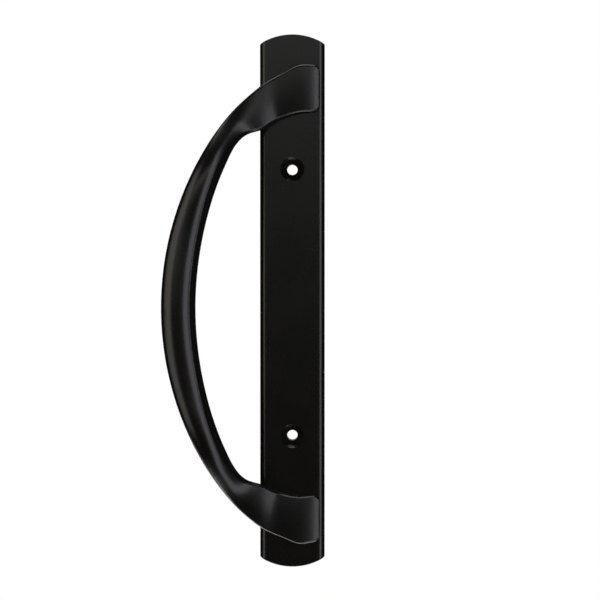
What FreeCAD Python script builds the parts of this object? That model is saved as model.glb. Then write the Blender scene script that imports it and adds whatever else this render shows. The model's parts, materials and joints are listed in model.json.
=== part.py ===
import FreeCAD, Part
import os
from math import cos, pi, radians, sin, sqrt, tan

# Sliding patio door handle: a long cast plate with a bowed pull grip set off to one side of it.
# Sizes are in millimetres and degrees. The front faces -Y, up is +Z, and the plate's back lies on y = 0.
# The origin is midway between the two fixing holes.

# The plate
plate_length = 266.4
plate_width = 32.4
plate_thickness = 9.0
plate_rise = 0.7
end_radius = 30.0
corner_radius = 1.0
corner_ease = 0.1
shoulder_radius = 3.5
end_round = 0.5

# Its hollow back
wall_thickness = 2.5
web_thickness = 3.0
rib_thickness = 2.0

# The holes for the two screws that fix the handle to a door
fixing_spacing = 133.35
fixing_hole = 5.3
countersink_diameter = 12.0
boss_wall = 1.6

# The grip, seen from the front. The feet lie a little below the middle, and the bow hangs lower still.
foot_spacing = 215.0
grip_drop = 0.4
bow_sag = 1.9
grip_reach = 65.5
grip_width = 19.4
neck_width = 14.4
foot_width = 24.6
foot_inset = 2.5

# The grip, seen from the side. Shares run along a foot, from its tip to the plate's edge.
grip_projection = 33.0
grip_depth = 14.0
foot_height = 5.0
tip_fall = 2.7
fall_share = 0.50
crease_share = 0.70
foot_sink = 4.0
ramp_angle = 14.0
side_draft = 8.0

# The rounded tip of each foot, then the rims of the feet
nose_length = 3.2
nose_drop = 0.5
nose_outer = 4.0
nose_inner = 2.2
foot_rim = 1.7

# The slopes at the outer and the inner edge of each foot's face
foot_outer = 0.3
foot_inner = 5.0

# The bow's section: the slopes at the two edges of its rounded front, and the edges themselves
outer_slope = 36.0
inner_slope = 33.0
outer_round = 2.0
ridge_round = 1.2
ridge_bevel = 1.8
ridge_drop = 1.9
back_round = 6.0

# The screws that hold the grip to the plate from behind, at a share of the way along each foot
screw_thread = 4.0
screw_head = 10.0
screw_head_height = 2.6
head_round = 1.2
cross_length = 5.4
cross_width = 1.2
cross_depth = 1.5
cover_thickness = 1.8
spigot_wall = 1.5
screw_share = 0.62

# Clearances
spigot_gap = 0.15
spigot_relief = 0.3
thread_gap = 0.05
tip_gap = 0.5

# Places worked out from the sizes above
V = FreeCAD.Vector
face_y = -plate_thickness
web_y = web_thickness - plate_thickness
half_width = plate_width / 2
half_span = foot_spacing / 2
tip_x = half_width - foot_inset
foot_length = tip_x + half_width
crease_x = tip_x - crease_share * foot_length
overhang = grip_reach - grip_width / 2 - half_width
swell = grip_width - neck_width
foot_front = plate_thickness + foot_height
buried = plate_thickness - foot_sink
fixing_places = (fixing_spacing / 2, -fixing_spacing / 2)
spigot_radius = screw_thread / 2 + spigot_wall
hole_end = cover_thickness - foot_front


def cylinder(radius, y_from, y_to, x, z):
    return Part.makeCylinder(radius, y_to - y_from, V(x, y_from, z), V(0, 1, 0))


def box(x_from, x_to, y_from, y_to, z_from, z_to):
    return Part.makeBox(x_to - x_from, y_to - y_from, z_to - z_from, V(x_from, y_from, z_from))


def chain(points):
    return [Part.makeLine(a, b) for a, b in zip(points, points[1:])]


def between(start, end, share):
    return start + share * (end - start)


def on_foot(share):
    """A place across the foot, from its tip (0) to the plate's edge (1)."""
    return tip_x - share * foot_length


def beside(share):
    """A place beside the plate, from its edge (0) to the middle of the bow (1)."""
    return -half_width - share * overhang


def face_at(share):
    """The front of a foot, which rounds off towards its tip."""
    return foot_front - tip_fall * max(0, 1 - share / fall_share) ** 2


def ramp_at(across):
    """The front of the straight ramp that climbs from the foot towards the bow."""
    return foot_front + (crease_x - across) * tan(radians(ramp_angle))


def front_at(share):
    return between(foot_front, grip_projection, share)


def back_at(share):
    return between(plate_thickness, grip_projection - grip_depth, share)


# The grip's stations, from the tip of the upper foot to the middle of the bow. Each row gives the place
# across and up, the width, the lean of the section (upright 0, level 90), the heights of the front and the
# back above the door, and how far the edges have grown from a foot's thin rim (0) to the bow's shape (1).
upper_stations = [
    (tip_x, half_span, foot_width, 0, face_at(0), buried, 0),
    (on_foot(0.16), half_span, 1.035 * foot_width, 0, face_at(0.16), buried, 0),
    (on_foot(0.33), half_span, 1.05 * foot_width, 0, face_at(0.33), buried, 0),
    (on_foot(0.59), 0.977 * half_span, 0.99 * foot_width, 0, face_at(0.59), buried, 0),
    (on_foot(0.73), 0.960 * half_span, 0.945 * foot_width, 4, ramp_at(on_foot(0.73)), buried + 1, 0),
    (on_foot(0.86), 0.940 * half_span, 0.905 * foot_width, 9, ramp_at(on_foot(0.86)), buried + 2.5, 0.05),
    (beside(0.05), 0.900 * half_span, 0.805 * foot_width, 18, ramp_at(beside(0.05)), back_at(0.08), 0.20),
    (beside(0.24), 0.852 * half_span, 1.07 * neck_width, 34, ramp_at(beside(0.24)), back_at(0.18), 0.55),
    (beside(0.49), 0.731 * half_span, neck_width, 58, front_at(0.70), back_at(0.50), 1),
    (beside(0.845), 0.411 * half_span, neck_width + 0.70 * swell, 79, front_at(0.96), back_at(0.91), 1),
    (beside(1), 0, grip_width, 90, front_at(1), back_at(1), 1),
]


def whole_grip():
    """All the stations from foot to foot. The lower half mirrors the upper one, and the bow sags."""
    lower = []
    for across, up, width, lean, front, back, growth in upper_stations[-2::-1]:
        lower.append((across, -up, width, 180 - lean, front, back, growth))
    rows = []
    for row in upper_stations + lower:
        sag = bow_sag * min(1, (tip_x - row[0]) / foot_length)
        rows.append((row[0], row[1] - grip_drop - sag) + row[2:])
    return rows


def smooth(column):
    """A smooth curve through one column of the stations."""
    rows = whole_grip()
    run = [0]
    for a, b in zip(rows, rows[1:]):
        run.append(run[-1] + sqrt((b[0] - a[0]) ** 2 + (b[1] - a[1]) ** 2))
    curve = Part.BSplineCurve()
    curve.interpolate(Points=[V(row[0], row[column], row[1]) for row in rows], Parameters=run)
    return curve


width_line, lean_line, front_line, back_line, growth_line = [smooth(column) for column in range(2, 7)]
grip_length = width_line.LastParameter
screw_run = screw_share * foot_length
screw_spots = [width_line.value(along) for along in (screw_run, grip_length - screw_run)]


def rounded_wire(points, radii):
    """A closed wire of straight sides with an arc at each corner. Arcs too big for a side share it out."""
    count = len(points)
    sides = [points[(i + 1) % count] - points[i] for i in range(count)]
    halves = [(-sides[i - 1]).getAngle(sides[i]) / 2 for i in range(count)]
    wants = [radius / tan(half) for radius, half in zip(radii, halves)]
    shares = []
    for i in range(count):
        shares.append(min(1, 0.95 * sides[i].Length / (wants[i] + wants[(i + 1) % count])))
    arcs = []
    for i in range(count):
        run = wants[i] * min(shares[i - 1], shares[i])
        one = (-sides[i - 1]).normalize()
        two = V(sides[i]).normalize()
        depth = run / cos(halves[i]) - run * tan(halves[i])
        top = points[i] + (one + two).normalize() * depth
        arcs.append((points[i] + one * run, top, points[i] + two * run))
    edges = []
    for i in range(count):
        edges.append(Part.Arc(*arcs[i]).toShape())
        edges.append(Part.makeLine(arcs[i][2], arcs[(i + 1) % count][0]))
    return Part.Wire(edges)


def grip_section(along, inset):
    """One section of the grip. The inset runs from 0 on the body to 1 at the very tip of a foot."""
    spot = width_line.value(along)
    lean = radians(lean_line.value(along).y)
    inward = V(sin(lean), 0, -cos(lean))
    front = front_line.value(along).y - inset * nose_drop
    back = back_line.value(along).y
    growth = min(1, max(0, growth_line.value(along).y))
    outer = -spot.y / 2 + inset * nose_outer
    inner = spot.y / 2 - inset * nose_inner
    draft = (front - back) * tan(radians(side_draft))
    bevel = between(foot_rim / 2, ridge_bevel, growth)
    drop = between(foot_rim / 2, ridge_drop, growth)
    ridge = between(foot_rim / 2, ridge_round, growth)
    edge = outer + draft
    brow = inner - draft - bevel
    fall = tan(radians(between(foot_outer, outer_slope, growth)))
    dip = tan(radians(between(foot_inner, inner_slope, growth)))
    crown = (brow - edge) / (fall + dip)
    corners = [
        (outer, back, back_round),
        (edge, front - crown * fall ** 2 / 2, between(foot_rim, outer_round, growth)),
        ((edge + brow) / 2, front + crown * fall * dip / 2, crown),
        (brow, front - crown * dip ** 2 / 2, ridge),
        (inner - draft, front - crown * dip ** 2 / 2 - drop, ridge),
        (inner, back, back_round),
    ]
    points = [V(spot.x, -height, spot.z) + inward * side for side, height, radius in corners]
    return rounded_wire(points, [radius for side, height, radius in corners])


def grip_bow():
    """The whole bow with both feet, made through its sections, which lie closer together on the feet."""
    nose_steps = 4
    foot_steps = 16
    bow_steps = 9
    foot_run = foot_length + overhang / 3
    places = []
    for step in range(nose_steps + 1):
        angle = step * pi / 2 / nose_steps
        places.append((nose_length * (1 - cos(angle)), 1 - sin(angle)))
    for step in range(1, foot_steps + 1):
        places.append((between(nose_length, foot_run, step / foot_steps), 0))
    for step in range(1, bow_steps + 1):
        places.append((between(foot_run, grip_length / 2, step / bow_steps), 0))
    places += [(grip_length - along, inset) for along, inset in places[-2::-1]]
    return Part.makeLoft([grip_section(along, inset) for along, inset in places], True)


def pull_grip():
    """The bow cut off at the plate's face, with a drilled spigot under each foot."""
    behind = box(-2 * grip_reach, plate_width, face_y, 0, -foot_spacing, foot_spacing)
    spigots = []
    holes = []
    for spot in screw_spots:
        spigots.append(cylinder(spigot_radius, hole_end, web_y - spigot_relief, spot.x, spot.z))
        holes.append(cylinder(screw_thread / 2, hole_end, web_y, spot.x, spot.z))
    return grip_bow().cut(behind).fuse(spigots).cut(holes)


def plate_plan():
    """The plate from the front: arched ends, rounded corners, and sides a hair outside the plate's own."""
    corner_x = half_width + corner_ease - corner_radius
    corner_rise = sqrt((end_radius - corner_radius) ** 2 - corner_x ** 2)
    ends = []
    for way in (1, -1):
        apex = plate_rise + way * plate_length / 2
        corner_z = apex - way * (end_radius - corner_rise)
        corners = []
        for side in (way, -way):
            level = V(side, 0, 0)
            slant = V(side * corner_x, 0, way * corner_rise).normalize()
            halfway = (slant + level).normalize()
            middle = V(side * corner_x, 0, corner_z)
            corners.append([middle + ray * corner_radius for ray in (level, halfway, slant)])
        first, last = corners[0], corners[1][::-1]
        ends.append([first, [first[2], V(0, 0, apex), last[0]], last])
    edges = []
    for here, other in (ends, ends[::-1]):
        edges += [Part.Arc(*points).toShape() for points in here]
        edges.append(Part.makeLine(here[2][2], other[0][0]))
    return Part.Face(Part.Wire(edges))


def plate_body():
    """The outside of the plate, with its two long front edges rounded over."""
    side_y = face_y + shoulder_radius
    flat_x = half_width - shoulder_radius
    low = plate_rise - plate_length / 2 - end_radius
    turn = shoulder_radius * sin(pi / 4)
    left = [V(-half_width, side_y, low), V(-flat_x - turn, side_y - turn, low), V(-flat_x, face_y, low)]
    right = [V(flat_x, face_y, low), V(flat_x + turn, side_y - turn, low), V(half_width, side_y, low)]
    edges = chain([right[2], V(half_width, 0, low), V(-half_width, 0, low), left[0]])
    edges += [Part.Arc(*left).toShape(), Part.makeLine(left[2], right[0]), Part.Arc(*right).toShape()]
    bar = Part.Face(Part.Wire(edges)).extrude(V(0, 0, plate_length + 2 * end_radius))
    body = bar.common(plate_plan().extrude(V(0, face_y, 0)))
    rims = []
    for edge in body.Edges:
        middle = edge.valueAt((edge.FirstParameter + edge.LastParameter) / 2)
        if abs(middle.y - face_y) < 0.001 and abs(middle.x) < 0.001:
            rims.append(edge)
    return body.makeFillet(end_round, rims)


def hollow_back():
    """The room taken out of the plate's back, clear of its ribs and its screw bosses."""
    inner_x = half_width - wall_thickness
    end_sag = end_radius - sqrt(end_radius ** 2 - half_width ** 2)
    inner_z = plate_length / 2 - end_sag - wall_thickness
    room = box(-inner_x, inner_x, web_y, 0, plate_rise - inner_z, plate_rise + inner_z)
    upright = [edge for edge in room.Edges if abs(edge.tangentAt(edge.FirstParameter).y) > 0.99]
    room = room.makeFillet(wall_thickness, upright)
    rib_places = [0]
    for fixing_z, spot in zip(fixing_places, screw_spots):
        rib_places += [fixing_z / 2, (fixing_z + spot.z) / 2]
    keep = []
    for z in rib_places:
        keep.append(box(-half_width, half_width, web_y, 0, z - rib_thickness / 2, z + rib_thickness / 2))
    for z in fixing_places:
        keep.append(cylinder(countersink_diameter / 2 + boss_wall, web_y, 0, 0, z))
    return room.cut(keep)


def backplate():
    cuts = [hollow_back()]
    for z in fixing_places:
        depth = (countersink_diameter - fixing_hole) / 2
        sink = Part.makeCone(countersink_diameter / 2, fixing_hole / 2, depth, V(0, face_y, z), V(0, 1, 0))
        cuts += [cylinder(fixing_hole / 2, face_y, 0, 0, z), sink]
    for spot in screw_spots:
        cuts.append(cylinder(spigot_radius + spigot_gap, face_y, web_y, spot.x, spot.z))
    return plate_body().cut(cuts).removeSplitter()


def grip_screw(spot):
    head = cylinder(screw_head / 2, web_y, web_y + screw_head_height, spot.x, spot.z)
    rim = [edge for edge in head.Edges if edge.BoundBox.YMin > web_y + screw_head_height / 2]
    head = head.makeFillet(head_round, rim)
    shank = cylinder(screw_thread / 2 - thread_gap, hole_end + tip_gap, web_y, spot.x, spot.z)
    top = web_y + screw_head_height
    reach = cross_length / 2
    half = cross_width / 2
    cross = []
    for across, up in ((reach, half), (half, reach)):
        slot = box(-across, across, top - cross_depth, top, -up, up)
        cross.append(slot.translated(V(spot.x, 0, spot.z)))
    return head.fuse(shank).cut(cross)


os.makedirs("parts", exist_ok=True)
backplate().exportStep("parts/backplate.step")
pull_grip().exportStep("parts/pull_grip.step")
Part.Compound([grip_screw(spot) for spot in screw_spots]).exportStep("parts/grip_screws.step")
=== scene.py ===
import json
from math import cos, pi, radians, sin

import bpy
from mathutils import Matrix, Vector


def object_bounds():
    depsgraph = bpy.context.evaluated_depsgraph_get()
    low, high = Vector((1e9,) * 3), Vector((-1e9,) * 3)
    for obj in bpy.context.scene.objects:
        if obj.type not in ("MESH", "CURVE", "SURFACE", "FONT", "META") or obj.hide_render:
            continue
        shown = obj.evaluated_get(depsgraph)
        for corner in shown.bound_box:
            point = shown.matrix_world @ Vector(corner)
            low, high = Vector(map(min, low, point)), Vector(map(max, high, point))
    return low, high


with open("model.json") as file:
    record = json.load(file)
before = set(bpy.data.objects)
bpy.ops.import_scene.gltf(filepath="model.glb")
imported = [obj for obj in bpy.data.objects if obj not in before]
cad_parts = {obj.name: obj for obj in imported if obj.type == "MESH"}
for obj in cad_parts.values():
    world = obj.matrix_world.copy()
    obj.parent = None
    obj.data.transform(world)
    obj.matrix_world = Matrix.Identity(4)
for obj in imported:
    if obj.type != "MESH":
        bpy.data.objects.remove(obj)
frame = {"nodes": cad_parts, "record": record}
cad_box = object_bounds()

# Lengths are in metres, in the frame of the part: the front faces -Y and up is +Z.

# Camera: almost square on to the plate, from a little above
AIM = Vector((0.0038, -0.009, 0.00142))
CAMERA_DISTANCE = 0.8
CAMERA_ELEVATION = 1.2
SENSOR_WIDTH = 36.0
LENS = 96.0

# Softboxes: azimuth from the front towards +X, elevation, distance, width, height, glow and colour
SOFTBOXES = {
    "left_softbox": (-53, 5, 1.0, 0.50, 1.2, 1.5, (1.0, 0.94, 0.82)),
    "right_softbox": (45.5, -10, 1.0, 0.46, 1.9, 1.9, (0.97, 0.93, 1.0)),
    "top_softbox": (180, 86, 1.0, 0.9, 0.45, 4.5, (1.0, 1.0, 1.0)),
    "low_softbox": (180, -86, 0.3, 0.30, 0.16, 3.5, (1.0, 1.0, 1.0)),
}

# Surroundings: a dim studio with a soft bright band in front, just above eye level, and white behind.
# The bounds are heights or depths of a ray's direction.
STUDIO_GLOW = 0.004
AMBIENT_GLOW = 0.3
BAND_GLOW = 1.5
BAND_RISE = (0.08, 0.24)
BAND_FALL = (0.24, 0.34)
BAND_FRONT = (-0.6, -0.9)
BACKDROP = (0.985, 0.998)

# Floor: a pale round table some way under the handle, which fades to plain white outwards
FLOOR_GAP = 0.25
FLOOR_RADIUS = 0.6
FLOOR_SETBACK = 0.55
FLOOR_FADE_FROM = 0.2
FLOOR_FADE_TO = 0.55
FLOOR_COLOUR = (0.84, 0.84, 0.84, 1)

# Black paint: noise scales per metre, the darkest and palest tint, the roughness range and the ripple
PAINT_PATCHES = 45
PAINT_GRAIN = 900
PAINT_DARK = (0.0028, 0.0025, 0.0020, 1)
PAINT_PALE = (0.0040, 0.0036, 0.0029, 1)
PAINT_ROUGHNESS = (0.26, 0.29)
PAINT_RIPPLE = {"Strength": 0.05, "Distance": 0.0002}

# Zinc plate, in the same terms
ZINC_CLOUDS = 400
ZINC_MARKS = 3000
ZINC_DARK = (0.50, 0.50, 0.48, 1)
ZINC_PALE = (0.62, 0.62, 0.61, 1)
ZINC_ROUGHNESS = (0.28, 0.42)
ZINC_RIPPLE = {"Strength": 0.1, "Distance": 0.0001}

# The part of a noise's values that a roughness range is spread over
NOISE_RANGE = (0.3, 0.7)


class Nodes:
    """Short ways to add nodes to a tree and to join them."""

    def __init__(self, tree):
        self.tree = tree
        tree.nodes.clear()

    def add(self, kind, inputs=None, **settings):
        node = self.tree.nodes.new(kind)
        for name, value in settings.items():
            setattr(node, name, value)
        for name, value in (inputs or {}).items():
            if isinstance(value, bpy.types.NodeSocket):
                self.tree.links.new(value, node.inputs[name])
            else:
                node.inputs[name].default_value = value
        return node

    def math(self, operation, first, second, clamp=False):
        node = self.add("ShaderNodeMath", {0: first, 1: second}, operation=operation, use_clamp=clamp)
        return node.outputs[0]

    def spread(self, value, low, high, new_low, new_high, smooth=False):
        kind = "SMOOTHSTEP" if smooth else "LINEAR"
        ends = {"From Min": low, "From Max": high, "To Min": new_low, "To Max": new_high}
        node = self.add("ShaderNodeMapRange", {"Value": value, **ends}, interpolation_type=kind)
        return node.outputs["Result"]

    def noise(self, place, scale, detail=2):
        node = self.add("ShaderNodeTexNoise", {"Vector": place, "Scale": scale, "Detail": detail})
        return node.outputs["Fac"]

    def blend(self, share, first, second):
        node = self.add("ShaderNodeMix", data_type="RGBA")
        node.inputs["A"].default_value = first
        node.inputs["B"].default_value = second
        self.tree.links.new(share, node.inputs["Factor"])
        return node.outputs["Result"]

    def output(self, surface, kind="ShaderNodeOutputMaterial"):
        self.add(kind, {"Surface": surface})


def new_material(name):
    material = bpy.data.materials.new(name)
    material.use_nodes = True
    return material, Nodes(material.node_tree)


def black_paint():
    """Satin black powder paint: a faint orange-peel ripple and slightly uneven gloss."""
    material, nodes = new_material("black_paint")
    place = nodes.add("ShaderNodeTexCoord").outputs["Object"]
    patches = nodes.noise(place, PAINT_PATCHES, detail=3)
    grain = nodes.noise(place, PAINT_GRAIN)
    ripple = nodes.add("ShaderNodeBump", {"Height": grain, **PAINT_RIPPLE})
    paint = nodes.add("ShaderNodeBsdfPrincipled", {
        "Base Color": nodes.blend(patches, PAINT_DARK, PAINT_PALE),
        "Roughness": nodes.spread(patches, *NOISE_RANGE, *PAINT_ROUGHNESS),
        "IOR": 1.5,
        "Normal": ripple.outputs["Normal"],
    })
    nodes.output(paint.outputs["BSDF"])
    return material


def plated_steel():
    """Dull zinc plate: grey metal with cloudy patches and fine turning marks."""
    material, nodes = new_material("plated_steel")
    place = nodes.add("ShaderNodeTexCoord").outputs["Object"]
    clouds = nodes.noise(place, ZINC_CLOUDS, detail=4)
    marks = nodes.noise(place, ZINC_MARKS)
    ripple = nodes.add("ShaderNodeBump", {"Height": marks, **ZINC_RIPPLE})
    metal = nodes.add("ShaderNodeBsdfPrincipled", {
        "Base Color": nodes.blend(clouds, ZINC_DARK, ZINC_PALE),
        "Metallic": 1.0,
        "Roughness": nodes.spread(clouds, *NOISE_RANGE, *ZINC_ROUGHNESS),
        "Normal": ripple.outputs["Normal"],
    })
    nodes.output(metal.outputs["BSDF"])
    return material


def dress_nodes():
    """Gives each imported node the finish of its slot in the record."""
    finishes = {"black_paint": black_paint(), "plated_steel": plated_steel()}
    for subpart in frame["record"]["subparts"]:
        piece = frame["nodes"][subpart["node"]]
        piece.data.materials.clear()
        piece.data.materials.append(finishes[subpart["material_slot"]])


def ray_kinds(nodes):
    """Two shares, each 0 or 1: for the camera's own rays, and for mirrored or refracted ones."""
    path = nodes.add("ShaderNodeLightPath").outputs
    mirrored = nodes.math("ADD", path["Is Glossy Ray"], path["Is Transmission Ray"], clamp=True)
    return path["Is Camera Ray"], mirrored


def make_world():
    """White for the camera. Mirrored rays see white behind the part, and the dim studio in front of it."""
    world = bpy.data.worlds.new("studio")
    bpy.context.scene.world = world
    world.use_nodes = True
    nodes = Nodes(world.node_tree)
    direct, mirrored = ray_kinds(nodes)
    heading = nodes.add("ShaderNodeTexCoord").outputs["Generated"]
    heading = nodes.add("ShaderNodeSeparateXYZ", {"Vector": heading}).outputs
    behind = nodes.spread(heading["Y"], *BACKDROP, 0, 1, smooth=True)
    band = nodes.spread(heading["Z"], *BAND_RISE, 0, BAND_GLOW, smooth=True)
    band = nodes.math("MULTIPLY", band, nodes.spread(heading["Z"], *BAND_FALL, 1, 0, smooth=True))
    band = nodes.math("MULTIPLY", band, nodes.spread(heading["Y"], *BAND_FRONT, 0, 1, smooth=True))
    glow = nodes.math("MULTIPLY", mirrored, nodes.math("ADD", band, STUDIO_GLOW - AMBIENT_GLOW))
    dim = nodes.add("ShaderNodeBackground", {"Strength": nodes.math("ADD", glow, AMBIENT_GLOW)})
    white = nodes.add("ShaderNodeBackground", {"Strength": 1.0})
    for background in (dim, white):
        background.inputs["Color"].default_value = (1, 1, 1, 1)
    share = nodes.math("ADD", direct, nodes.math("MULTIPLY", mirrored, behind), clamp=True)
    mix = nodes.add("ShaderNodeMixShader", {0: share, 1: dim.outputs[0], 2: white.outputs[0]})
    nodes.output(mix.outputs[0], "ShaderNodeOutputWorld")


def floor_material():
    """Pale and matt under the part, so that it takes its shadow, and plain white further out."""
    material, nodes = new_material("pale_floor")
    direct, mirrored = ray_kinds(nodes)
    place = nodes.add("ShaderNodeNewGeometry").outputs["Position"]
    flat = nodes.add("ShaderNodeVectorMath", {0: place, 1: (1, 1, 0)}, operation="MULTIPLY")
    reach = nodes.add("ShaderNodeVectorMath", {0: flat.outputs[0]}, operation="LENGTH").outputs["Value"]
    far = nodes.spread(reach, FLOOR_FADE_FROM, FLOOR_FADE_TO, 0, 1, smooth=True)
    seen = nodes.math("ADD", direct, mirrored, clamp=True)
    matt = nodes.add("ShaderNodeBsdfDiffuse", {"Color": FLOOR_COLOUR})
    white = nodes.add("ShaderNodeEmission", {"Strength": 1.0})
    share = nodes.math("MULTIPLY", seen, far)
    mix = nodes.add("ShaderNodeMixShader", {0: share, 1: matt.outputs[0], 2: white.outputs[0]})
    nodes.output(mix.outputs[0])
    return material


def make_floor():
    bpy.ops.mesh.primitive_circle_add(
        vertices=128,
        radius=FLOOR_RADIUS,
        fill_type="NGON",
        location=(0, FLOOR_SETBACK, cad_box[0].z - FLOOR_GAP),
    )
    floor = bpy.context.object
    floor.name = "floor"
    floor.data.materials.append(floor_material())


def direction(azimuth, elevation):
    """From the part outwards: azimuth 0 is the front, and positive azimuths lie towards +X."""
    a, e = radians(azimuth), radians(elevation)
    return Vector((sin(a) * cos(e), -cos(a) * cos(e), sin(e)))


def make_softbox(name, azimuth, elevation, distance, width, height, glow, colour):
    lamp = bpy.data.lights.new(name, "AREA")
    lamp.shape = "RECTANGLE"
    lamp.size = width
    lamp.size_y = height
    lamp.energy = glow * pi * width * height
    lamp.color = colour
    softbox = bpy.data.objects.new(name, lamp)
    towards = direction(azimuth, elevation)
    softbox.location = towards * distance
    softbox.rotation_euler = towards.to_track_quat("Z", "Y").to_euler()
    softbox.visible_camera = False
    bpy.context.scene.collection.objects.link(softbox)


def make_camera():
    lens = bpy.data.cameras.new("camera")
    lens.sensor_width = SENSOR_WIDTH
    lens.lens = LENS
    camera = bpy.data.objects.new("camera", lens)
    towards = direction(0, CAMERA_ELEVATION)
    camera.location = AIM + towards * CAMERA_DISTANCE
    camera.rotation_euler = towards.to_track_quat("Z", "Y").to_euler()
    bpy.context.scene.collection.objects.link(camera)
    bpy.context.scene.camera = camera


dress_nodes()
make_world()
make_floor()
for softbox_name, settings in SOFTBOXES.items():
    make_softbox(softbox_name, *settings)
make_camera()
bpy.context.scene.view_settings.view_transform = "Standard"
